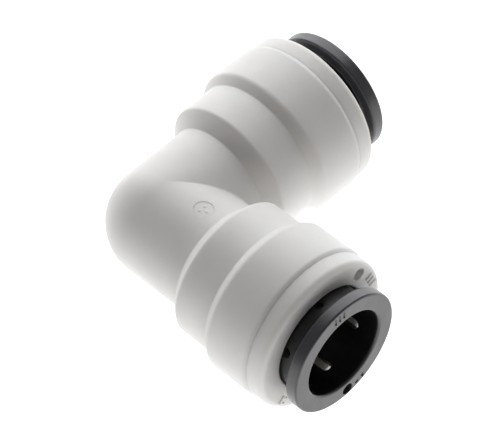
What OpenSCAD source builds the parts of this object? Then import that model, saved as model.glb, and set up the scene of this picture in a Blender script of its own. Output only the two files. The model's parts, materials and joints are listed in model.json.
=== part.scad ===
// Push to connect elbow: a moulded 90 degree body with two equal ports for round tube.
// Port A points along +X and port B along +Y. The part lies on its two barrels at z = 0,
// with the origin under the middle of its bounding box.

/* [Elbow body] */
// Radius of the plain neck next to the bend
neck_r = 8.15; // [8:0.05:8.3]
// Distance from the bend's centre to the end of the neck
neck_end = 9.85; // [9.7:0.05:10]
// Distance at which the middle step has its full radius
step_start = 11.65; // [11.5:0.05:11.8]
// Radius of the middle step next to the neck
step_r = 10.2; // [10:0.05:10.3]
// Distance from the bend's centre to the end of the middle step
step_end = 17.15; // [17:0.05:17.3]
// Radius at the end of the middle step
step_end_r = 10.25; // [10.2:0.05:10.5]
// Distance at which the barrel has its full radius
barrel_start = 18.35; // [18.2:0.05:18.6]
// Radius of the barrel next to the middle step
barrel_r = 11.35; // [11.2:0.05:11.4]
// Largest radius, of the barrel's rim next to the end cap
rim_r = 11.4; // [11.4:0.05:11.6]
// Distance from the bend's centre to the seam
seam = 25.35; // [25.2:0.05:25.5]

/* [Waterway and tube seat] */
// Radius of the passage between the two ports
waterway_r = 4.8; // [4:0.1:5]
// Distance from the bend's centre to the stop that the tube's end meets
tube_stop = 10.3; // [10:0.1:10.8]
// Radius of the seat around the end of the tube
seat_r = 6.45; // [6.4:0.01:6.5]

/* [Seal] */
// Distance from the bend's centre to the start of the ring chamber
ring_start = 13.8; // [13.6:0.1:14]
// Radius of the ring chamber
chamber_r = 8.6; // [8.6:0.05:8.8]
// Radius of the ring's round section, as squeezed by the tube
ring_section_r = 1.08; // [1:0.01:1.08]
// Inner radius of the spacer washer
washer_bore_r = 6.65; // [6.6:0.05:6.8]
// Thickness of the spacer washer
washer_t = 1.45; // [1:0.05:1.45]

/* [End cap] */
// Outer radius, a little under the barrel's rim
cap_r = 11.15; // [11.1:0.05:11.3]
// Distance from the bend's centre to the cap's front face
cap_face = 28.05; // [27.9:0.05:28.2]
// Rounding of the cap's front edge
cap_edge = 0.75; // [0.5:0.05:0.9]
// Bevel at the mouth of the cap's hole
cap_mouth = 0.25; // [0.2:0.05:0.5]
// Radius of the cap's hole, which guides the collet's neck
cap_hole_r = 7.65; // [7.62:0.01:7.75]
// Radius inside the cap, around the collet's finger heads
cap_bore_r = 8.85; // [8.8:0.05:9]
// Radius of the round gate recess in the cap's face
cap_gate_r = 0.95; // [0.7:0.05:1]
// Depth of the round gate recess
cap_gate_depth = 1.2; // [0.8:0.1:1.4]
// Angle of the gate recess about the port, from the horizontal
cap_gate_phase = 42; // [0:1:359]

/* [Collet] */
// Distance from the bend's centre to the collet's front face, with the collet out
reach = 32.15; // [32:0.05:32.3]
// Thickness of the collet's flange
flange_t = 1.85; // [1.6:0.05:2]
// Radius of the collet's flange
flange_r = 9.1; // [8.8:0.05:9.2]
// Radius of the collet's bore
collet_bore_r = 6.5; // [6.45:0.01:6.55]
// Radius of the mouth, where the bore's lead-in meets the front face
mouth_r = 6.65; // [6.6:0.01:6.75]
// Radius of the collet's neck
collet_neck_r = 7.5; // [7.4:0.01:7.5]
// Radius of the heads on the collet's fingers
head_r = 8.6; // [8.4:0.05:8.6]
// Number of fingers, with one slot and one tooth each
fingers = 6; // [6]
// Width of the slots between the fingers
slot_w = 1.4; // [1:0.1:1.6]
// Distance from the bend's centre to the rounded end of the slots
slot_end = 28.9; // [28.6:0.1:29.2]
// Angle of the first slot about the port, from the horizontal
slot_phase = 35; // [0:1:59]
// Radius of the round gate recess in the collet's front face
collet_gate_r = 0.85; // [0.6:0.05:0.9]
// Depth of the gate recess in the collet's front face
collet_gate_depth = 0.9; // [0.5:0.1:1.2]
// Angle of the gate recess about the port, from the horizontal
collet_gate_phase = 274; // [0:1:359]

/* [Teeth] */
// Width of a tooth
tooth_w = 2.6; // [2:0.1:3]
// Thickness of the tooth's steel strip
tooth_t = 0.35; // [0.3:0.05:0.35]
// Length of a tooth, from its root to its gripping edge
tooth_l = 2; // [1.9:0.05:2]
// Lean of a tooth from the radial direction, towards the tube stop
tooth_lean = 35; // [33:1:36]
// Radius of a tooth's round root
root_r = 0.4; // [0.35:0.01:0.4]
// How far a closed tooth reaches inside the collet's bore
bite = 0.5; // [0.4:0.05:0.5]

/* [Hidden] */
$fn = 96;
overlap = 0.5;                                   // how far a cutting shape runs past what it cuts
run_gap = 0.1;                                   // room around a piece that turns or swings
weld_gap = 0.05;                                 // glue line between the cap's spigot and the socket
rim_edge = 0.55;                                 // length of the bevel from the barrel's rim down to the cap
centre_shift = (reach - rim_r) / 2;              // from the origin to the bend's centre, along X and Y
bend = [-centre_shift, -centre_shift, rim_r];    // crossing of the two port axes
ring_x = ring_start + ring_section_r + weld_gap;             // middle of the O-ring
ring_gap = 0.02;                                 // between the squeezed ring and the chamber's wall
ring_mid_r = chamber_r - ring_gap - ring_section_r;          // from the port's axis to the section's centre
washer_x = ring_x + ring_section_r + weld_gap;               // face of the washer next to the O-ring
gallery_x = washer_x + washer_t + run_gap;                   // where the chamber widens for the fingers
gallery_r = 9.3;
socket_x = 19.4;                                 // bottom of the socket for the cap's spigot
socket_r = 10.15;
spigot_x = socket_x + 0.1;                       // inner end of the cap's spigot
flange_x = reach - flange_t;                     // back of the collet's flange
collet_x = 20.2;                                 // inner end of the collet
head_x = 22.7;                                   // where the finger heads are widest
nose_x = 21;                                     // where the finger heads reach their full radius
nose_r = 8.1;                                    // radius of the finger heads at their inner end
flange_edge = 0.2;                               // chamfer on the flange's edges
lead_in = 0.6;                                   // length of the lead-in at the collet's mouth
ramp = head_r - collet_neck_r;                   // the heads' ramp rises as far as it runs
cap_gate_mid_r = 9.42;                           // from the port's axis to the middle of the cap's recess
collet_gate_mid_r = 8;                           // the same for the collet's recess
cone_gap = 0.2;                                  // from the ramp to the cap's cone, along the port
root_dist = 22.2;                                // from the bend's centre to a tooth's root
root_mid_r = collet_bore_r - bite + tooth_l * cos(tooth_lean);
tooth_gap = 0.07;                                // room around a tooth in its finger
tooth_swing = 22;                                // how far a tooth swings open, in degrees
step = 360 / fingers;
tooth_phase = slot_phase + step / 2;
tip_corner = 0.6;                                // rounding of the gripping edge's corners

white = [0.93, 0.93, 0.92];
grey = [0.42, 0.43, 0.46];
black = [0.08, 0.08, 0.08];
ivory = [0.85, 0.85, 0.82];
steel = [0.75, 0.75, 0.77];

// ---- placing: children are drawn along +X from the bend's centre ----

module port_a() {
    translate(bend) children();
}

module port_b() {
    translate(bend) rotate([0, 0, 90]) children();
}

// Turns an outline of [radius, distance along the port] about the port's axis
module revolve(outline) {
    rotate([0, 90, 0]) rotate_extrude() polygon(outline);
}

// Places children, drawn towards +Y, at an angle about the port's axis
module around(angle) {
    rotate([angle, 0, 0]) children();
}

// ---- elbow body ----

module arm() {
    revolve([
        [0, 0], [neck_r, 0], [neck_r, neck_end],
        [step_r, step_start], [step_end_r, step_end],
        [barrel_r, barrel_start], [rim_r, seam - rim_edge],
        [cap_r, seam], [0, seam]
    ]);
}

module arm_bore() {
    revolve([
        [0, 0], [waterway_r, 0], [waterway_r, tube_stop],
        [seat_r, tube_stop], [seat_r, ring_start],
        [chamber_r, ring_start], [chamber_r, gallery_x],
        [gallery_r, gallery_x], [gallery_r, socket_x],
        [socket_r, socket_x], [socket_r, seam + overlap], [0, seam + overlap]
    ]);
}

module elbow_body() {
    color(white) difference() {
        union() {
            port_a() arm();
            port_b() arm();
            translate(bend) sphere(neck_r);
        }
        port_a() arm_bore();
        port_b() arm_bore();
        translate(bend) sphere(waterway_r);
    }
}

// ---- end cap: a rim outside, a spigot in the socket, and the cone that closes the fingers ----

// A round recess of radius r and a given depth in a face at x, mid_r from the port's axis
module face_recess(x, mid_r, r, depth) {
    translate([x - depth, mid_r, 0]) rotate([0, 90, 0]) cylinder(r = r, h = depth + overlap);
}

module end_cap() {
    spigot_r = socket_r - weld_gap;
    cone_x = head_x + cone_gap;
    cone_run = cap_bore_r - cap_hole_r;
    color(white) difference() {
        revolve(concat(
            [[spigot_r, seam], [cap_r, seam]],
            [for (a = [0:22.5:90])
                [cap_r - cap_edge + cap_edge * cos(a), cap_face - cap_edge + cap_edge * sin(a)]],
            [
                [cap_hole_r + cap_mouth, cap_face], [cap_hole_r, cap_face - cap_mouth],
                [cap_hole_r, cone_x + cone_run], [cap_bore_r, cone_x],
                [cap_bore_r, spigot_x], [spigot_r, spigot_x]
            ]
        ));
        around(cap_gate_phase) face_recess(cap_face, cap_gate_mid_r, cap_gate_r, cap_gate_depth);
    }
}

// ---- collet ----

// The room in a finger head in which a tooth swings, from closed to open, about its round root
module tooth_pocket() {
    closed = -90 - tooth_lean;
    open = closed - tooth_swing;
    strip = tooth_t + 2 * tooth_gap;
    translate([root_dist, root_mid_r, 0]) linear_extrude(tooth_w + 2 * run_gap, center = true) {
        circle(root_r + tooth_gap, $fn = 32);
        for (a = [closed, open]) rotate(a) translate([0, -strip / 2]) square([2 * tooth_l, strip]);
        polygon([[0, 0], for (a = [closed, open]) 2 * tooth_l * [cos(a), sin(a)]]);
    }
}

module collet() {
    color(grey) difference() {
        revolve([
            [collet_bore_r, collet_x], [nose_r, collet_x],
            [head_r, nose_x], [head_r, head_x],
            [collet_neck_r, head_x + ramp], [collet_neck_r, flange_x],
            [flange_r - flange_edge, flange_x], [flange_r, flange_x + flange_edge],
            [flange_r, reach - flange_edge], [flange_r - flange_edge, reach],
            [mouth_r, reach], [collet_bore_r, reach - lead_in]
        ]);
        around(collet_gate_phase) face_recess(reach, collet_gate_mid_r, collet_gate_r, collet_gate_depth);
        for (i = [0 : fingers - 1]) {
            around(slot_phase + i * step) finger_slot();
            around(tooth_phase + i * step) tooth_pocket();
        }
    }
}

// The slot between two fingers, with a round end near the flange
module finger_slot() {
    round_x = slot_end - slot_w / 2;
    translate([collet_x - overlap, 0, -slot_w / 2]) cube([round_x - collet_x + overlap, head_r + overlap, slot_w]);
    translate([round_x, 0, 0]) rotate([-90, 0, 0]) cylinder(r = slot_w / 2, h = head_r + overlap);
}

// ---- seal ----

module o_ring() {
    color(black) rotate([0, 90, 0]) rotate_extrude()
        translate([ring_mid_r, ring_x]) circle(ring_section_r, $fn = 48);
}

module spacer_washer() {
    washer_r = chamber_r - run_gap;
    chamfer = 0.25;
    color(ivory) revolve([
        [washer_bore_r, washer_x], [washer_r, washer_x],
        [washer_r, washer_x + washer_t - chamfer], [washer_r - chamfer, washer_x + washer_t],
        [washer_bore_r + chamfer, washer_x + washer_t], [washer_bore_r, washer_x + washer_t - chamfer]
    ]);
}

// ---- teeth ----

// Outline of the steel strip, from the root along +X, with a gripping edge that has round corners
module tooth_blank() {
    half = tooth_w / 2;
    translate([0, -half]) square([tooth_l - tip_corner, tooth_w]);
    translate([0, -half + tip_corner]) square([tooth_l, tooth_w - 2 * tip_corner]);
    for (side = [-1, 1])
        translate([tooth_l - tip_corner, side * (half - tip_corner)]) circle(tip_corner, $fn = 32);
}

module tooth(number) {
    color(steel) around(tooth_phase + (number - 1) * step)
        translate([root_dist, root_mid_r, 0]) {
            cylinder(r = root_r, h = tooth_w, center = true, $fn = 32);
            rotate([0, 0, -90 - tooth_lean]) rotate([90, 0, 0])
                linear_extrude(tooth_t, center = true) tooth_blank();
        }
}

elbow_body();
port_a() end_cap();  // end_cap_a
port_b() end_cap();  // end_cap_b
port_a() collet();  // collet_a
port_b() collet();  // collet_b
port_a() o_ring();  // o_ring_a
port_b() o_ring();  // o_ring_b
port_a() spacer_washer();  // spacer_washer_a
port_b() spacer_washer();  // spacer_washer_b
for (i = [1 : fingers]) {
    port_a() tooth(i);
    port_b() tooth(i);
}
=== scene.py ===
import json
import math

import bmesh
import bpy
from mathutils import Matrix, Vector


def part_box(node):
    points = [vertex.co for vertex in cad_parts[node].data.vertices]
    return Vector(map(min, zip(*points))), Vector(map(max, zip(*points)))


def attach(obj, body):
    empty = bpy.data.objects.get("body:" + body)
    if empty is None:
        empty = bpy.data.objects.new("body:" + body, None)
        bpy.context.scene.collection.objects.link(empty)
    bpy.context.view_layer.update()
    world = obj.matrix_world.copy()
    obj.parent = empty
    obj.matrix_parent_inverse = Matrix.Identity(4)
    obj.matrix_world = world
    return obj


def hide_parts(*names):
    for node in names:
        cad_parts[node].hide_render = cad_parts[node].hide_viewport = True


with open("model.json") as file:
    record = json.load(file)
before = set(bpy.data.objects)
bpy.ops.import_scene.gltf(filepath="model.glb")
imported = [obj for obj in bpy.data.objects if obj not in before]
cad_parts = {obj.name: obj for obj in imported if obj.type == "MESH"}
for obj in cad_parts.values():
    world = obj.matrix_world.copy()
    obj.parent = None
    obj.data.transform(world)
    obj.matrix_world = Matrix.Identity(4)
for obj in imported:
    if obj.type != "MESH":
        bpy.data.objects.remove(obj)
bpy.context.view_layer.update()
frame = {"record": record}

# ---------------------------------------------------------------- sizes, in metres
# A port is described along +X from the centre of the bend, as (x, r):
# the distance along its axis, and the distance from its axis.

MM = 0.001
TURN = 2 * math.pi
PORTS = ("a", "b")

mounts = {m["name"]: m for m in frame["record"]["mounts"]}
socket = mounts["tube_socket_a"]
body_low, body_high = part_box("elbow_body")
collet_low, collet_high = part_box("collet_a")
ring_low, ring_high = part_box("o_ring_a")
washer_low, washer_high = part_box("spacer_washer_a")

RIM_R = (body_high.z - body_low.z) / 2
BEND = Vector((mounts["tube_socket_b"]["pos_m"][0], socket["pos_m"][1], RIM_R))
SEAM = body_high.x - BEND.x
CAP_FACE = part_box("end_cap_a")[1].x - BEND.x
COLLET_END = collet_low.x - BEND.x
REACH = collet_high.x - BEND.x
FLANGE_R = (collet_high.z - collet_low.z) / 2
SEAT_R = socket["dims"]["r_mm"] * MM
SEAT_HALF = socket["dims"]["length_mm"] * MM / 2
TUBE_STOP = socket["pos_m"][0] - BEND.x - SEAT_HALF
RING_START = socket["pos_m"][0] - BEND.x + SEAT_HALF
RING_SECTION_R = (ring_high.x - ring_low.x) / 2
RING_X = (ring_high.x + ring_low.x) / 2 - BEND.x
RING_MID_R = (ring_high.z - ring_low.z) / 2 - RING_SECTION_R
WASHER_X, WASHER_END = washer_low.x - BEND.x, washer_high.x - BEND.x
WASHER_R = (washer_high.z - washer_low.z) / 2

NECK_R, NECK_END = 8.15 * MM, 9.85 * MM
STEP_START, STEP_R = 11.65 * MM, 10.2 * MM
STEP_END, STEP_END_R = 17.15 * MM, 10.25 * MM
BARREL_START, BARREL_R = 18.35 * MM, 11.35 * MM
WATERWAY_R = 4.8 * MM
CHAMBER_R = 8.6 * MM
GALLERY_X, GALLERY_R = 17.65 * MM, 9.3 * MM     # room round the collet's finger heads
SOCKET_X, SOCKET_R = 19.4 * MM, 10.15 * MM      # socket for the cap's spigot
RIM_EDGE = 0.55 * MM                            # length of the bevel from the rim down to the cap
SEAM_GAP, SEAM_DEPTH = 0.005 * MM, 0.25 * MM    # the crack along the seam
# fillets: where the two necks meet, where the two waterways meet, and along an arm's outside
CROOK_R, WATERWAY_CROOK_R = 0.45 * MM, 0.2 * MM
NECK_FILLET, STEP_START_FILLET = 0.2 * MM, 0.6 * MM
STEP_END_FILLET, BARREL_FILLET = 0.25 * MM, 1.0 * MM
RIM_FILLET, SEAM_FILLET = 0.9 * MM, 0.03 * MM

SPIGOT_GAP = 0.1 * MM
CAP_R = 11.15 * MM
CAP_EDGE, CAP_MOUTH = 0.8 * MM, 0.3 * MM
CAP_HOLE_R, CAP_BORE_R = 7.65 * MM, 8.85 * MM
CONE_GAP = 0.2 * MM                             # from the collet's heads to the cap's cone, along the port
WASHER_BORE_R = 6.65 * MM
COLLET_BORE_R, COLLET_NECK_R = 6.5 * MM, 7.5 * MM
HEAD_X, HEAD_R = 22.7 * MM, 8.6 * MM
NOSE_X, NOSE_R = 21.0 * MM, 8.1 * MM
FLANGE_T = 1.85 * MM
FLANGE_BACK = REACH - FLANGE_T
FINGERS = 6
SLOT_W, SLOT_END = 1.4 * MM, 28.9 * MM
SLOT_PHASE = math.radians(35)
TOOTH_PHASE = SLOT_PHASE + TURN / FINGERS / 2
TOOTH_W, TOOTH_L, TOOTH_HALF_T = 2.6 * MM, 2.0 * MM, 0.175 * MM
TOOTH_LEAN, TOOTH_SWING = math.radians(35), math.radians(22)
TOOTH_BITE = 0.5 * MM                           # how far a tooth reaches into the collet's bore
ROOT_X, ROOT_R = 22.2 * MM, 0.4 * MM
ROOT_MID_R = COLLET_BORE_R - TOOTH_BITE + TOOTH_L * math.cos(TOOTH_LEAN)
TOOTH_GAP, TOOTH_SIDE_GAP = 0.07 * MM, 0.1 * MM

# marks and recesses: distance from the port's axis to their middle, and angle about it from the horizontal
CAP_GATE_R, CAP_GATE_MID_R, CAP_GATE_ANGLE = 0.95 * MM, 9.42 * MM, math.radians(42)
CAP_GATE_DEPTH = 1.2 * MM
COLLET_GATE_R, COLLET_GATE_MID_R, COLLET_GATE_ANGLE = 0.85 * MM, 8.0 * MM, math.radians(-86)
COLLET_GATE_DEPTH = 0.9 * MM
NECK_MARK_X, NECK_MARK_ANGLE, NECK_MARK_R = 7.0 * MM, math.radians(89), 1.36 * MM
NECK_MARK_DEPTH = 0.08 * MM
CAP_MARK_MID_R, CAP_BARS_ANGLE, CAP_DOTS_ANGLE = 9.8 * MM, math.radians(20), math.radians(-138)
COLLET_MARK_MID_R, COLLET_TICKS_ANGLE = 7.95 * MM, math.radians(96)
COLLET_DASH_ANGLE, COLLET_LAST_TICK_ANGLE = math.radians(-74), math.radians(-66)
SOFT_EDGE = 0.06 * MM                           # broken edge of a moulded recess or mark

# brightness of the light table, of the sky, and of the backdrop that only the camera sees
FLOOR_LIGHT, SKY_LIGHT, BACKDROP_LIGHT = 1.3, 0.11, 0.95

# each port's own frame
PLACE = {
    "a": Matrix.Translation(BEND),
    "b": Matrix.Translation(BEND) @ Matrix.Rotation(math.pi / 2, 4, "Z"),
}


# ---------------------------------------------------------------- camera, lights, floor

def make_camera():
    """From above, between the two arms, with a long lens."""
    azimuth, elevation, roll = math.radians(45.5), math.radians(50.2), math.radians(-1.75)
    aside, above, distance = 10.63 * MM, 0.45 * MM, 505.0 * MM
    level = math.cos(elevation)
    back = Vector((math.sin(azimuth) * level, -math.cos(azimuth) * level, math.sin(elevation)))
    right = Vector((math.cos(azimuth), math.sin(azimuth), 0))
    up = back.cross(right)
    turned_right = math.cos(roll) * right + math.sin(roll) * up
    turned_up = math.cos(roll) * up - math.sin(roll) * right
    data = bpy.data.cameras.new("camera")
    data.sensor_width, data.lens = 36, 278.7
    data.clip_start, data.clip_end = 0.01, 10
    camera = bpy.data.objects.new("camera", data)
    axes = Matrix((turned_right, turned_up, back)).transposed()
    place = BEND + turned_right * aside + turned_up * above + back * distance
    camera.matrix_world = Matrix.Translation(place) @ axes.to_4x4()
    bpy.context.scene.collection.objects.link(camera)
    bpy.context.scene.camera = camera


def add_softbox(name, towards, distance, size, power, colour):
    """A square area light that faces the elbow from a direction."""
    data = bpy.data.lights.new(name, "AREA")
    data.shape = "SQUARE"
    data.size = size
    data.energy = power
    data.color = colour
    light = bpy.data.objects.new(name, data)
    away = Vector(towards).normalized()
    light.location = Vector((0, 0, RIM_R)) + away * distance
    light.rotation_mode = "QUATERNION"
    light.rotation_quaternion = away.to_track_quat("Z", "Y")
    bpy.context.scene.collection.objects.link(light)


def make_lights():
    """One large softbox behind the elbow and a weak sky. The light table gives the rest."""
    turn, height = math.radians(135), math.radians(36)
    behind = (math.cos(turn) * math.cos(height), math.sin(turn) * math.cos(height), math.sin(height))
    add_softbox("behind", behind, distance=0.6, size=0.8, power=4.8, colour=(0.98, 0.99, 1.0))
    world = bpy.data.worlds.new("studio")
    world.use_nodes = True
    tree = world.node_tree
    background = tree.nodes["Background"]
    background.inputs["Color"].default_value = (1.0, 0.95, 0.92, 1)
    path = tree.nodes.new("ShaderNodeLightPath")
    strength = tree.nodes.new("ShaderNodeMapRange")
    strength.inputs["To Min"].default_value = SKY_LIGHT
    strength.inputs["To Max"].default_value = BACKDROP_LIGHT
    tree.links.new(path.outputs["Is Camera Ray"], strength.inputs["Value"])
    tree.links.new(strength.outputs["Result"], background.inputs["Strength"])
    bpy.context.scene.world = world


def make_floor():
    """A plain white light table."""
    half = 2.0
    corners = [(-half, -half, 0), (half, -half, 0), (half, half, 0), (-half, half, 0)]
    mesh = bpy.data.meshes.new("floor")
    mesh.from_pydata(corners, [], [(0, 1, 2, 3)])
    floor = bpy.data.objects.new("floor", mesh)
    bpy.context.scene.collection.objects.link(floor)
    material, _, shader = new_material("floor_white", (0.2, 0.2, 0.2), roughness=0.9)
    shader.inputs["Emission Color"].default_value = (1, 1, 1, 1)
    shader.inputs["Emission Strength"].default_value = FLOOR_LIGHT
    mesh.materials.append(material)


# ---------------------------------------------------------------- outlines

def rounded(points, steps):
    """A closed outline through points (x, r), or (x, r, radius) for a corner with an arc of that radius.

    Where there is room for them, each arc has a point just before and just after it, which keeps the flats
    beside it flat in shading.
    """
    room = 0.7
    outline = []
    count = len(points)
    for i, point in enumerate(points):
        here = Vector(point[:2])
        radius = point[2] if len(point) > 2 else 0
        to_before = Vector(points[(i - 1) % count][:2]) - here
        to_after = Vector(points[(i + 1) % count][:2]) - here
        angle = to_before.angle(to_after)
        if radius == 0:
            outline.append(here)
            continue
        before, after = to_before.normalized(), to_after.normalized()
        length = radius / math.tan(angle / 2)
        centre = here + (before + after).normalized() * radius / math.sin(angle / 2)
        start = here + before * length - centre
        sweep = start.angle_signed(here + after * length - centre)
        support = 0.2 * radius
        if length + support < room * to_before.length:
            outline.append(here + before * (length + support))
        outline += [centre + Matrix.Rotation(-sweep * k / steps, 2) @ start for k in range(steps + 1)]
        if length + support < room * to_after.length:
            outline.append(here + after * (length + support))
    return outline


def capsule(start, end, half):
    """An outline at the distance half round the line from start to end, which may be one point."""
    steps = 14
    along = end - start
    heading = math.atan2(along.y, along.x) if along.length > 0 else 0
    points = []
    for centre, turn in ((end, heading - math.pi / 2), (start, heading + math.pi / 2)):
        for k in range(steps + 1):
            angle = turn + math.pi * k / steps
            points.append(centre + half * Vector((math.cos(angle), math.sin(angle))))
    return points


# ---------------------------------------------------------------- meshes

def make_piece(name, verts, faces, matrix):
    mesh = bpy.data.meshes.new(name)
    mesh.from_pydata([matrix @ Vector(v) for v in verts], [], faces)
    piece = bpy.data.objects.new(name, mesh)
    bpy.context.scene.collection.objects.link(piece)
    tidy(piece)
    return piece


def tidy(piece):
    """Joins points that meet and turns every face outwards."""
    merge = 0.002 * MM
    mesh = bmesh.new()
    mesh.from_mesh(piece.data)
    bmesh.ops.remove_doubles(mesh, verts=mesh.verts, dist=merge)
    bmesh.ops.dissolve_degenerate(mesh, edges=mesh.edges, dist=merge)
    bmesh.ops.recalc_face_normals(mesh, faces=mesh.faces)
    mesh.to_mesh(piece.data)
    mesh.free()


def smooth(piece, angle=32):
    """Smooth shading, with creases only where faces meet at more than angle degrees."""
    mesh = piece.data
    mesh.polygons.foreach_set("use_smooth", [True] * len(mesh.polygons))
    mesh.set_sharp_from_angle(angle=math.radians(angle))


def on_port(x, r, angle):
    return Vector((x, r * math.cos(angle), r * math.sin(angle)))


def revolve(outline):
    """Turns a closed outline of (x, r) about the port's axis."""
    segments, count = 180, len(outline)
    verts = [on_port(x, r, TURN * s / segments) for s in range(segments) for x, r in outline]
    faces = []
    for s in range(segments):
        after = (s + 1) % segments
        for k in range(count):
            k2 = (k + 1) % count
            faces.append((s * count + k, s * count + k2, after * count + k2, after * count + k))
    return verts, faces


def stack(rings, to_space):
    """A solid through (height, outline) rings from one end to the other, all with as many points."""
    count = len(rings[0][1])
    verts = [to_space(p[0], p[1], height) for height, outline in rings for p in outline]
    last = count * (len(rings) - 1)
    faces = [tuple(reversed(range(count))), tuple(range(last, last + count))]
    for level in range(len(rings) - 1):
        base = level * count
        for k in range(count):
            k2 = (k + 1) % count
            faces.append((base + k, base + k2, base + count + k2, base + count + k))
    return verts, faces


def sunk(start, end, half, depth, to_space):
    """The tool for a recess along a line: its floor is at -depth, and its edge is broken at height 0."""
    clear = 1.0 * MM
    levels = [
        (-depth, 0.15 * half), (-depth, 0.6 * half), (-depth, half - SOFT_EDGE),
        (-depth + SOFT_EDGE, half), (-SOFT_EDGE, half),
        (0, half + SOFT_EDGE), (clear, half + 2 * SOFT_EDGE),
    ]
    return stack([(height, capsule(start, end, width)) for height, width in levels], to_space)


def raised(start, end, half, top, to_space, base=0.0):
    """A mark that stands up along a line, from a root under the surface at base to a rounded top."""
    root, shoulder = base - 0.2 * MM, 0.4 * base + 0.6 * top
    levels = [
        (root, half + SOFT_EDGE), (base, half + SOFT_EDGE), (shoulder, half),
        (top, half - SOFT_EDGE), (top, 0.3 * half),
    ]
    return stack([(level, capsule(start, end, width)) for level, width in levels], to_space)


def join_shapes(shapes):
    verts, faces = [], []
    for more_verts, more_faces in shapes:
        start = len(verts)
        verts += more_verts
        faces += [tuple(start + i for i in face) for face in more_faces]
    return verts, faces


def combine(piece, shapes, operation, matrix):
    """Cuts shapes out of piece (DIFFERENCE), or joins them to it (UNION), as solids."""
    tool = make_piece("tool", *join_shapes(shapes), matrix)
    boolean = piece.modifiers.new("combine", "BOOLEAN")
    boolean.operation = operation
    boolean.solver = "EXACT"
    boolean.object = tool
    graph = bpy.context.evaluated_depsgraph_get()
    mesh = bpy.data.meshes.new_from_object(piece.evaluated_get(graph))
    piece.modifiers.clear()
    piece.data = mesh
    bpy.data.objects.remove(tool)
    tidy(piece)


def on_face(x, mid_r, angle):
    """Places (outwards, around, up) from a point on the flat face at x."""
    turn = Matrix.Rotation(angle, 4, "X")
    return lambda u, v, w: turn @ Vector((x + w, mid_r + u, v))


def on_side(x, radius, angle):
    """Places (along the port, around, up) from a point on a round side, wrapped round that side."""
    return lambda u, v, w: on_port(x + u, radius + w, angle + v / radius)


def flat(u, v):
    """A point of a mark, given in millimetres."""
    return Vector((u * MM, v * MM))


# ---------------------------------------------------------------- elbow body

def arm_skin():
    """The outside of one arm from the end of the neck to the seam, as (x, r)."""
    on_neck = (NECK_END - 2 * MM, NECK_R)
    outline = rounded([
        on_neck,
        (NECK_END, NECK_R, NECK_FILLET), (STEP_START, STEP_R, STEP_START_FILLET),
        (STEP_END, STEP_END_R, STEP_END_FILLET), (BARREL_START, BARREL_R, BARREL_FILLET),
        (SEAM - RIM_EDGE, RIM_R, RIM_FILLET), (SEAM - SEAM_GAP, CAP_R, SEAM_FILLET),
        (SEAM - SEAM_GAP, CAP_R - SEAM_DEPTH), (SEAM, CAP_R - SEAM_DEPTH),
    ], steps=6)
    return outline[1:]                          # on_neck only gives the first fillet its direction


def arm_bore():
    """The inside of one arm from the seam to the tube stop, and a little into the waterway, as (x, r)."""
    edge, into_waterway = 0.15 * MM, 1 * MM
    return rounded([
        (SEAM, SOCKET_R), (SOCKET_X, SOCKET_R), (SOCKET_X, GALLERY_R), (GALLERY_X, GALLERY_R),
        (GALLERY_X, CHAMBER_R, edge), (RING_START, CHAMBER_R, 2 * edge), (RING_START, SEAT_R, edge),
        (TUBE_STOP, SEAT_R, edge), (TUBE_STOP, WATERWAY_R, 2 * edge),
        (TUBE_STOP - into_waterway, WATERWAY_R),
    ], steps=3)


def bend_rows(radius, crook, angle):
    """One line of points on the bend, from the mitre to the start of arm A, at an angle round the arm.

    The inner side follows a ball of radius crook rolled along the valley, and the outer side a sphere.
    """
    steps = 6
    side, height = math.cos(angle), math.sin(angle)
    if side > 0:
        reach = (radius + crook) * side
        centre = Vector((reach, reach, (radius + crook) * height))
        to_arm = -Vector((0, side, height))
        to_valley = -Vector((side / 2, side / 2, height)).normalized()
        return [centre + crook * to_valley.slerp(to_arm, k / steps) for k in range(steps + 1)]
    far = math.atan(-side)
    turns = [far * (1 - k / steps) for k in range(steps + 1)]
    return [radius * Vector((-math.sin(a), side * math.cos(a), height * math.cos(a))) for a in turns]


def neck_mark(piece):
    """A shallow round insert mark on top of the neck, with three dots in it."""
    place = on_side(NECK_MARK_X, NECK_R, NECK_MARK_ANGLE)
    disc = sunk(flat(0, 0), flat(0, 0), NECK_MARK_R, NECK_MARK_DEPTH, place)
    combine(piece, [disc], "DIFFERENCE", PLACE["a"])
    base, top = -NECK_MARK_DEPTH, -0.02 * MM
    number, dot_r, dot_mid_r = 3, 0.2 * MM, 0.55 * MM
    dots = []
    for k in range(number):
        angle = TURN * k / number
        middle = dot_mid_r * Vector((math.cos(angle), math.sin(angle)))
        dots.append(raised(middle, middle, dot_r, top, place, base))
    combine(piece, dots, "UNION", PLACE["a"])


def make_elbow():
    """Both arms as one closed shell: arm A with its half of the bend, and its mirror image."""
    segments = 192
    skin, bore = arm_skin(), arm_bore()
    verts = []
    for s in range(segments):
        angle = TURN * s / segments
        verts += bend_rows(NECK_R, CROOK_R, angle)
        verts += [on_port(x, r, angle) for x, r in skin + bore]
        verts += reversed(bend_rows(WATERWAY_R, WATERWAY_CROOK_R, angle))
    count = len(verts) // segments
    faces = []
    for s in range(segments):
        here, after = s * count, (s + 1) % segments * count
        faces += [(here + k, here + k + 1, after + k + 1, after + k) for k in range(count - 1)]
    mirrored = [Vector((v.y, v.x, v.z)) for v in verts]
    mirrored_faces = [tuple(reversed(face)) for face in faces]
    shapes = join_shapes([(verts, faces), (mirrored, mirrored_faces)])
    piece = make_piece("elbow_shell", *shapes, Matrix.Translation(BEND))
    neck_mark(piece)
    smooth(piece)
    return piece


# ---------------------------------------------------------------- end caps

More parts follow.
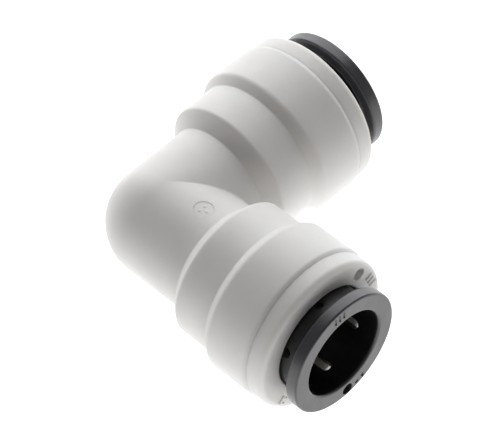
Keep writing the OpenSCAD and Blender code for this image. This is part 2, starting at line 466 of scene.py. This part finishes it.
def cap_outline():
    """The cap with its spigot, and in its bore the cone that the collet's heads close on, as (x, r)."""
    edge, soft = 0.1 * MM, 0.3 * MM
    spigot_r = SOCKET_R - SPIGOT_GAP / 2
    spigot_x = SOCKET_X + SPIGOT_GAP
    cone_x = HEAD_X + CONE_GAP
    cone_run = CAP_BORE_R - CAP_HOLE_R
    return rounded([
        (SEAM, CAP_R, SEAM_FILLET), (CAP_FACE, CAP_R, CAP_EDGE), (CAP_FACE, CAP_HOLE_R, CAP_MOUTH),
        (cone_x + cone_run, CAP_HOLE_R, soft), (cone_x, CAP_BORE_R, soft),
        (spigot_x, CAP_BORE_R, edge), (spigot_x, spigot_r, edge), (SEAM, spigot_r),
    ], steps=6)


def cap_marks():
    """Three raised bars, and a bar with two dots across from them."""
    top, half = 0.2 * MM, 0.15 * MM
    place = on_face(CAP_FACE, CAP_MARK_MID_R, CAP_BARS_ANGLE)
    marks = [raised(flat(-0.45, v), flat(0.5, v), half, top, place) for v in (-0.95, 0, 0.95)]
    place = on_face(CAP_FACE, CAP_MARK_MID_R, CAP_DOTS_ANGLE)
    marks.append(raised(flat(-0.45, -0.45), flat(0.55, -0.45), half, top, place))
    marks += [raised(flat(u, 0.45), flat(u, 0.45), half, top, place) for u in (-0.4, 0.4)]
    return marks


def make_cap(port):
    piece = make_piece(f"end_cap_{port}_shell", *revolve(cap_outline()), PLACE[port])
    place = on_face(CAP_FACE, CAP_GATE_MID_R, CAP_GATE_ANGLE)
    gate = sunk(flat(0, 0), flat(0, 0), CAP_GATE_R, CAP_GATE_DEPTH, place)
    combine(piece, [gate], "DIFFERENCE", PLACE[port])
    combine(piece, cap_marks(), "UNION", PLACE[port])
    smooth(piece)
    return piece


# ---------------------------------------------------------------- collets

def collet_outline():
    """The collet before its slots are cut: fingers with heads, neck and flange, as (x, r)."""
    fine, edge, soft = 0.1 * MM, 0.2 * MM, 0.3 * MM
    flange_back_edge, flange_edge, mouth = 0.35 * MM, 0.28 * MM, 0.35 * MM
    ramp = HEAD_R - COLLET_NECK_R
    return rounded([
        (COLLET_END, COLLET_BORE_R, fine), (COLLET_END, NOSE_R, edge),
        (NOSE_X, HEAD_R, soft), (HEAD_X, HEAD_R, edge),
        (HEAD_X + ramp, COLLET_NECK_R, soft), (FLANGE_BACK, COLLET_NECK_R, edge),
        (FLANGE_BACK, FLANGE_R, flange_back_edge), (REACH, FLANGE_R, flange_edge),
        (REACH, COLLET_BORE_R, mouth),
    ], steps=5)


def slot_cutter(angle):
    """A long slot with a round end towards the flange, its edges broken at the bore and at the neck."""
    start = Vector((COLLET_END - SLOT_W, 0))
    end = Vector((SLOT_END - SLOT_W / 2, 0))
    half, edge, past, clear = SLOT_W / 2, 0.08 * MM, 0.04 * MM, 1 * MM
    above_neck = COLLET_NECK_R + 0.1 * MM
    levels = [
        (COLLET_BORE_R - clear, half + edge), (COLLET_BORE_R - past, half + edge),
        (COLLET_BORE_R + edge, half), (COLLET_NECK_R - edge - past, half),
        (COLLET_NECK_R, half + edge), (above_neck, half + edge),
        (above_neck + 0.05 * MM, half), (HEAD_R + clear, half),
    ]
    turn = Matrix.Rotation(angle, 4, "X")
    rings = [(height, capsule(start, end, width)) for height, width in levels]
    return stack(rings, lambda u, v, w: turn @ Vector((u, w, v)))


def pocket_cutter(angle):
    """The room in which a tooth swings, drawn in the plane through the port's axis at angle."""
    closed = -math.pi / 2 - TOOTH_LEAN
    opened = closed - TOOTH_SWING
    around, half = ROOT_R + TOOTH_GAP, TOOTH_HALF_T + TOOTH_GAP
    inset = math.asin(half / around)
    first, last = closed + inset, opened + TURN - inset
    root, steps = Vector((ROOT_X, ROOT_MID_R)), 20
    angles = [first + (last - first) * k / steps for k in range(steps + 1)]
    outline = [root + around * Vector((math.cos(a), math.sin(a))) for a in angles]
    for direction, side in ((opened, -1), (closed, 1)):
        ahead = Vector((math.cos(direction), math.sin(direction)))
        across = Vector((-ahead.y, ahead.x))
        outline.append(root + 2 * TOOTH_L * ahead + side * half * across)
    turn = Matrix.Rotation(angle, 4, "X")
    half_w = TOOTH_W / 2 + TOOTH_SIDE_GAP
    return stack([(-half_w, outline), (half_w, outline)], lambda u, v, w: turn @ Vector((u, v, w)))


def collet_marks():
    """Three sunk ticks on the face, and a dash and a tick near the gate recess."""
    half, depth = 0.15 * MM, 0.16 * MM
    place = on_face(REACH, COLLET_MARK_MID_R, COLLET_TICKS_ANGLE)
    marks = [sunk(flat(-0.45, v), flat(0.45, v), half, depth, place) for v in (-0.75, 0, 0.75)]
    place = on_face(REACH, COLLET_MARK_MID_R, COLLET_DASH_ANGLE)
    marks.append(sunk(flat(0.35, -0.15), flat(0.35, 0.15), half, depth, place))
    place = on_face(REACH, COLLET_MARK_MID_R, COLLET_LAST_TICK_ANGLE)
    marks.append(sunk(flat(0, 0), flat(0.45, 0), 0.2 * MM, depth, place))
    return marks


def make_collet(port):
    piece = make_piece(f"collet_{port}_moulding", *revolve(collet_outline()), PLACE[port])
    step = TURN / FINGERS
    cutters = [slot_cutter(SLOT_PHASE + i * step) for i in range(FINGERS)]
    combine(piece, cutters, "DIFFERENCE", PLACE[port])
    cutters = [pocket_cutter(TOOTH_PHASE + i * step) for i in range(FINGERS)]
    combine(piece, cutters, "DIFFERENCE", PLACE[port])
    place = on_face(REACH, COLLET_GATE_MID_R, COLLET_GATE_ANGLE)
    gate = sunk(flat(0, 0), flat(0, 0), COLLET_GATE_R, COLLET_GATE_DEPTH, place)
    combine(piece, [gate] + collet_marks(), "DIFFERENCE", PLACE[port])
    smooth(piece)
    return piece


# ---------------------------------------------------------------- rings, washers, teeth

def make_ring(port):
    """An O-ring of round section with a thin moulding flash round its inside and its outside."""
    steps, flash, flash_half = 48, 0.03 * MM, 0.06 * MM
    outline = []
    for k in range(steps):
        angle = TURN * k / steps
        x = RING_SECTION_R * math.cos(angle)
        swell = flash * math.exp(-(x / flash_half) ** 2)
        r = (RING_SECTION_R + swell) * math.sin(angle)
        outline.append((RING_X + x, RING_MID_R + r))
    piece = make_piece(f"o_ring_{port}_seal", *revolve(outline), PLACE[port])
    smooth(piece, 60)
    return piece


def make_washer(port):
    chamfer, edge = 0.25 * MM, 0.06 * MM
    outline = rounded([
        (WASHER_X, WASHER_BORE_R, edge), (WASHER_X, WASHER_R, edge),
        (WASHER_END - chamfer, WASHER_R, edge), (WASHER_END, WASHER_R - chamfer, edge),
        (WASHER_END, WASHER_BORE_R + chamfer, edge), (WASHER_END - chamfer, WASHER_BORE_R, edge),
    ], steps=3)
    piece = make_piece(f"spacer_washer_{port}_disc", *revolve(outline), PLACE[port])
    smooth(piece)
    return piece


def tooth_outline(tip, half_t):
    """Side view of a tooth along +X: a round root rolled from the strip, and the strip to its edge."""
    inset, steps, bevel = math.asin(half_t / ROOT_R), 24, 0.25 * MM
    angles = [inset + (TURN - 2 * inset) * k / steps for k in range(steps + 1)]
    points = [ROOT_R * Vector((math.cos(a), math.sin(a))) for a in angles]
    return points + [Vector((tip - bevel, -half_t)), Vector((tip, -0.4 * half_t)), Vector((tip, half_t))]


def make_tooth(port, number):
    """A stamped strip with rounded corners on its gripping edge."""
    corner, steps, edge = 0.6 * MM, 5, 0.03 * MM
    half_w = TOOTH_W / 2
    rings = [(half_w, tooth_outline(TOOTH_L - corner - edge, TOOTH_HALF_T - edge))]
    for k in range(steps + 1):
        turn = math.pi / 2 * k / steps
        height = half_w - edge - (corner - edge) * (1 - math.cos(turn))
        rings.append((height, tooth_outline(TOOTH_L - corner * (1 - math.sin(turn)), TOOTH_HALF_T)))
    rings = [(-height, outline) for height, outline in rings] + rings[::-1]
    angle = TOOTH_PHASE + (number - 1) * TURN / FINGERS
    lean = Matrix.Rotation(-math.pi / 2 - TOOTH_LEAN, 4, "Z")
    place = Matrix.Rotation(angle, 4, "X") @ Matrix.Translation((ROOT_X, ROOT_MID_R, 0)) @ lean
    shape = stack(rings, lambda u, v, w: place @ Vector((u, v, w)))
    piece = make_piece(f"tooth_{port}_{number}_blade", *shape, PLACE[port])
    smooth(piece)
    return piece


# ---------------------------------------------------------------- materials

def new_material(name, colour, roughness, **values):
    """A material whose Principled shader has these values."""
    material = bpy.data.materials.new(name)
    material.use_nodes = True
    tree = material.node_tree
    shader = tree.nodes["Principled BSDF"]
    shader.inputs["Base Color"].default_value = (*colour, 1)
    shader.inputs["Roughness"].default_value = roughness
    for socket_name, value in values.items():
        shader.inputs[socket_name.replace("_", " ")].default_value = value
    return material, tree, shader


def place_by(tree, stretch=(1, 1, 1)):
    """The piece's own coordinates, each multiplied by its part of stretch."""
    coordinates = tree.nodes.new("ShaderNodeTexCoord")
    mapping = tree.nodes.new("ShaderNodeMapping")
    mapping.inputs["Scale"].default_value = stretch
    tree.links.new(coordinates.outputs["Object"], mapping.inputs["Vector"])
    return mapping.outputs["Vector"]


def noise(tree, size, detail=2.0, roughness=0.5, stretch=(1, 1, 1)):
    """Noise with features of about the given size, in metres."""
    texture = tree.nodes.new("ShaderNodeTexNoise")
    texture.inputs["Scale"].default_value = 1 / size
    texture.inputs["Detail"].default_value = detail
    texture.inputs["Roughness"].default_value = roughness
    tree.links.new(place_by(tree, stretch), texture.inputs["Vector"])
    return texture.outputs["Fac"]


def remap(tree, value, low, high, from_low=0.3, from_high=0.7):
    """Maps from_low..from_high, which is the useful part of a noise, to low..high."""
    node = tree.nodes.new("ShaderNodeMapRange")
    node.inputs["From Min"].default_value = from_low
    node.inputs["From Max"].default_value = from_high
    node.inputs["To Min"].default_value = low
    node.inputs["To Max"].default_value = high
    tree.links.new(value, node.inputs["Value"])
    return node.outputs["Result"]


def blend_colours(tree, factor, first, second):
    """Mixes two colours, each a tuple or a socket, by a socket."""
    node = tree.nodes.new("ShaderNodeMix")
    node.data_type = "RGBA"
    tree.links.new(factor, node.inputs["Factor"])
    for colour, socket_in in ((first, node.inputs["A"]), (second, node.inputs["B"])):
        if isinstance(colour, tuple):
            socket_in.default_value = (*colour, 1)
        else:
            tree.links.new(colour, socket_in)
    return node.outputs["Result"]


def math_node(tree, operation, *values):
    """The result of an operation on sockets and numbers."""
    node = tree.nodes.new("ShaderNodeMath")
    node.operation = operation
    for value, socket_in in zip(values, node.inputs):
        if isinstance(value, float):
            socket_in.default_value = value
        else:
            tree.links.new(value, socket_in)
    return node.outputs["Value"]


def bump(tree, shader, height, depth):
    """Raises the surface by depth, in metres, where height is 1."""
    node = tree.nodes.new("ShaderNodeBump")
    node.inputs["Distance"].default_value = depth
    node.inputs["Strength"].default_value = 1.0
    tree.links.new(height, node.inputs["Height"])
    tree.links.new(node.outputs["Normal"], shader.inputs["Normal"])


def painted_shade_behind_flange(tree):
    """Painted shade mask: 1 on a collet's bore and neck, where shade is painted, 0 on its flange. A cone
    from the mouth to the neck parts them.
    """
    lip, blur_before, blur_after = 0.3 * MM, 0.25 * MM, 0.05 * MM
    split = tree.nodes.new("ShaderNodeSeparateXYZ")
    tree.links.new(place_by(tree), split.inputs["Vector"])
    x, y, z = [math_node(tree, "SUBTRACT", split.outputs[k], BEND[k]) for k in range(3)]
    along, aside = math_node(tree, "MAXIMUM", x, y), math_node(tree, "MINIMUM", x, y)
    squares = math_node(tree, "MULTIPLY_ADD", aside, aside, math_node(tree, "MULTIPLY", z, z))
    radius = math_node(tree, "SQRT", squares)
    slope = (FLANGE_T - lip) / (COLLET_NECK_R - COLLET_BORE_R)
    height = math_node(tree, "MULTIPLY_ADD", radius, slope, along)
    edge = FLANGE_BACK + slope * COLLET_NECK_R
    return remap(tree, height, 1, 0, edge - blur_before, edge + blur_after)


def moulded_plastic(name, light, dark, gloss, satin, grain_depth, inner=None, **values):
    """A fine eroded texture over a slight unevenness, with soft clouds of colour and a few rubbed spots.

    With inner, a collet's bore and neck have that colour: painted shade, far darker than the plastic
    itself.
    """
    material, tree, shader = new_material(name, light, satin, **values)
    clouds = remap(tree, noise(tree, 4.0 * MM, detail=3.0), 0, 0.65)
    specks = remap(tree, noise(tree, 0.35 * MM), 0, 0.35)
    shade = math_node(tree, "ADD", clouds, specks)
    colour = blend_colours(tree, shade, light, dark)
    if inner:
        # painted shade: the collet's bore and neck are darkened to stand in for shadow
        colour = blend_colours(tree, painted_shade_behind_flange(tree), colour, inner)
    tree.links.new(colour, shader.inputs["Base Color"])
    rubbed = noise(tree, 2.2 * MM, detail=4.0, roughness=0.65, stretch=(1, 1, 0.4))
    roughness = remap(tree, rubbed, gloss, satin)
    tree.links.new(roughness, shader.inputs["Roughness"])
    grain = remap(tree, noise(tree, 0.12 * MM), 0, 0.35, 0.25, 0.75)
    ripple = remap(tree, noise(tree, 1.4 * MM, detail=1.0), 0, 0.65, 0.25, 0.75)
    bump(tree, shader, math_node(tree, "ADD", grain, ripple), grain_depth)
    return material


def seal_rubber():
    """Black rubber with a film of grease."""
    light, dark = (0.032, 0.032, 0.034), (0.016, 0.016, 0.018)
    material, tree, shader = new_material("rubber", light, 0.5, Coat_Weight=0.3, Coat_Roughness=0.2)
    clouds = remap(tree, noise(tree, 1.2 * MM, detail=3.0), 0, 1)
    tree.links.new(blend_colours(tree, clouds, light, dark), shader.inputs["Base Color"])
    smears = noise(tree, 0.7 * MM, detail=3.0)
    tree.links.new(remap(tree, smears, 0.35, 0.62), shader.inputs["Roughness"])
    bump(tree, shader, noise(tree, 0.1 * MM), depth=5e-6)
    return material


def stainless_steel():
    """Rolled strip, with fine level lines and a faint uneven stain."""
    light, dark = (0.64, 0.63, 0.61), (0.5, 0.49, 0.47)
    material, tree, shader = new_material("steel", light, 0.3, Metallic=1.0)
    stain = remap(tree, noise(tree, 0.9 * MM, detail=3.0), 0, 1)
    tree.links.new(blend_colours(tree, stain, light, dark), shader.inputs["Base Color"])
    lines = noise(tree, 0.05 * MM, roughness=0.6, stretch=(0.06, 0.06, 1))
    tree.links.new(remap(tree, lines, 0.22, 0.42), shader.inputs["Roughness"])
    bump(tree, shader, lines, depth=2e-6)
    return material


# ---------------------------------------------------------------- the object

def finish_piece(piece, body, slot, *nodes):
    """Gives a piece its finish and its body, and hides the CAD nodes that it stands for."""
    piece.data.materials.clear()
    piece.data.materials.append(finishes[slot])
    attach(piece, body)
    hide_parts(*nodes)


make_camera()
make_lights()
make_floor()
bpy.context.scene.view_settings.view_transform = "Standard"

finishes = {
    "white_plastic": moulded_plastic(
        "white", light=(0.87, 0.86, 0.85), dark=(0.835, 0.82, 0.8),
        gloss=0.38, satin=0.54, grain_depth=7e-6,
        Subsurface_Weight=0.5, Subsurface_Radius=(1.0, 0.92, 0.84), Subsurface_Scale=1.2 * MM),
    "grey_plastic": moulded_plastic(
        # inner is painted shade on the collet's bore and neck, not a colour of the plastic
        "grey", light=(0.06, 0.06, 0.067), dark=(0.048, 0.048, 0.054), inner=(0.006, 0.006, 0.006),
        gloss=0.32, satin=0.46, grain_depth=6e-6,
        IOR=1.5, Coat_Weight=0.35, Coat_Roughness=0.25),
    "natural_plastic": moulded_plastic(
        "natural", light=(0.74, 0.72, 0.64), dark=(0.68, 0.65, 0.56),
        gloss=0.4, satin=0.52, grain_depth=5e-6),
    "seal_rubber": seal_rubber(),
    "stainless_steel": stainless_steel(),
}

finish_piece(make_elbow(), "fitting_body", "white_plastic", "elbow_body")
for port in PORTS:
    finish_piece(make_cap(port), "fitting_body", "white_plastic", f"end_cap_{port}")
    finish_piece(make_ring(port), "fitting_body", "seal_rubber", f"o_ring_{port}")
    finish_piece(make_washer(port), f"washer_{port}", "natural_plastic", f"spacer_washer_{port}")
    finish_piece(make_collet(port), f"collet_{port}", "grey_plastic", f"collet_{port}")
    for number in range(1, FINGERS + 1):
        name = f"tooth_{port}_{number}"
        finish_piece(make_tooth(port, number), name, "stainless_steel", name)
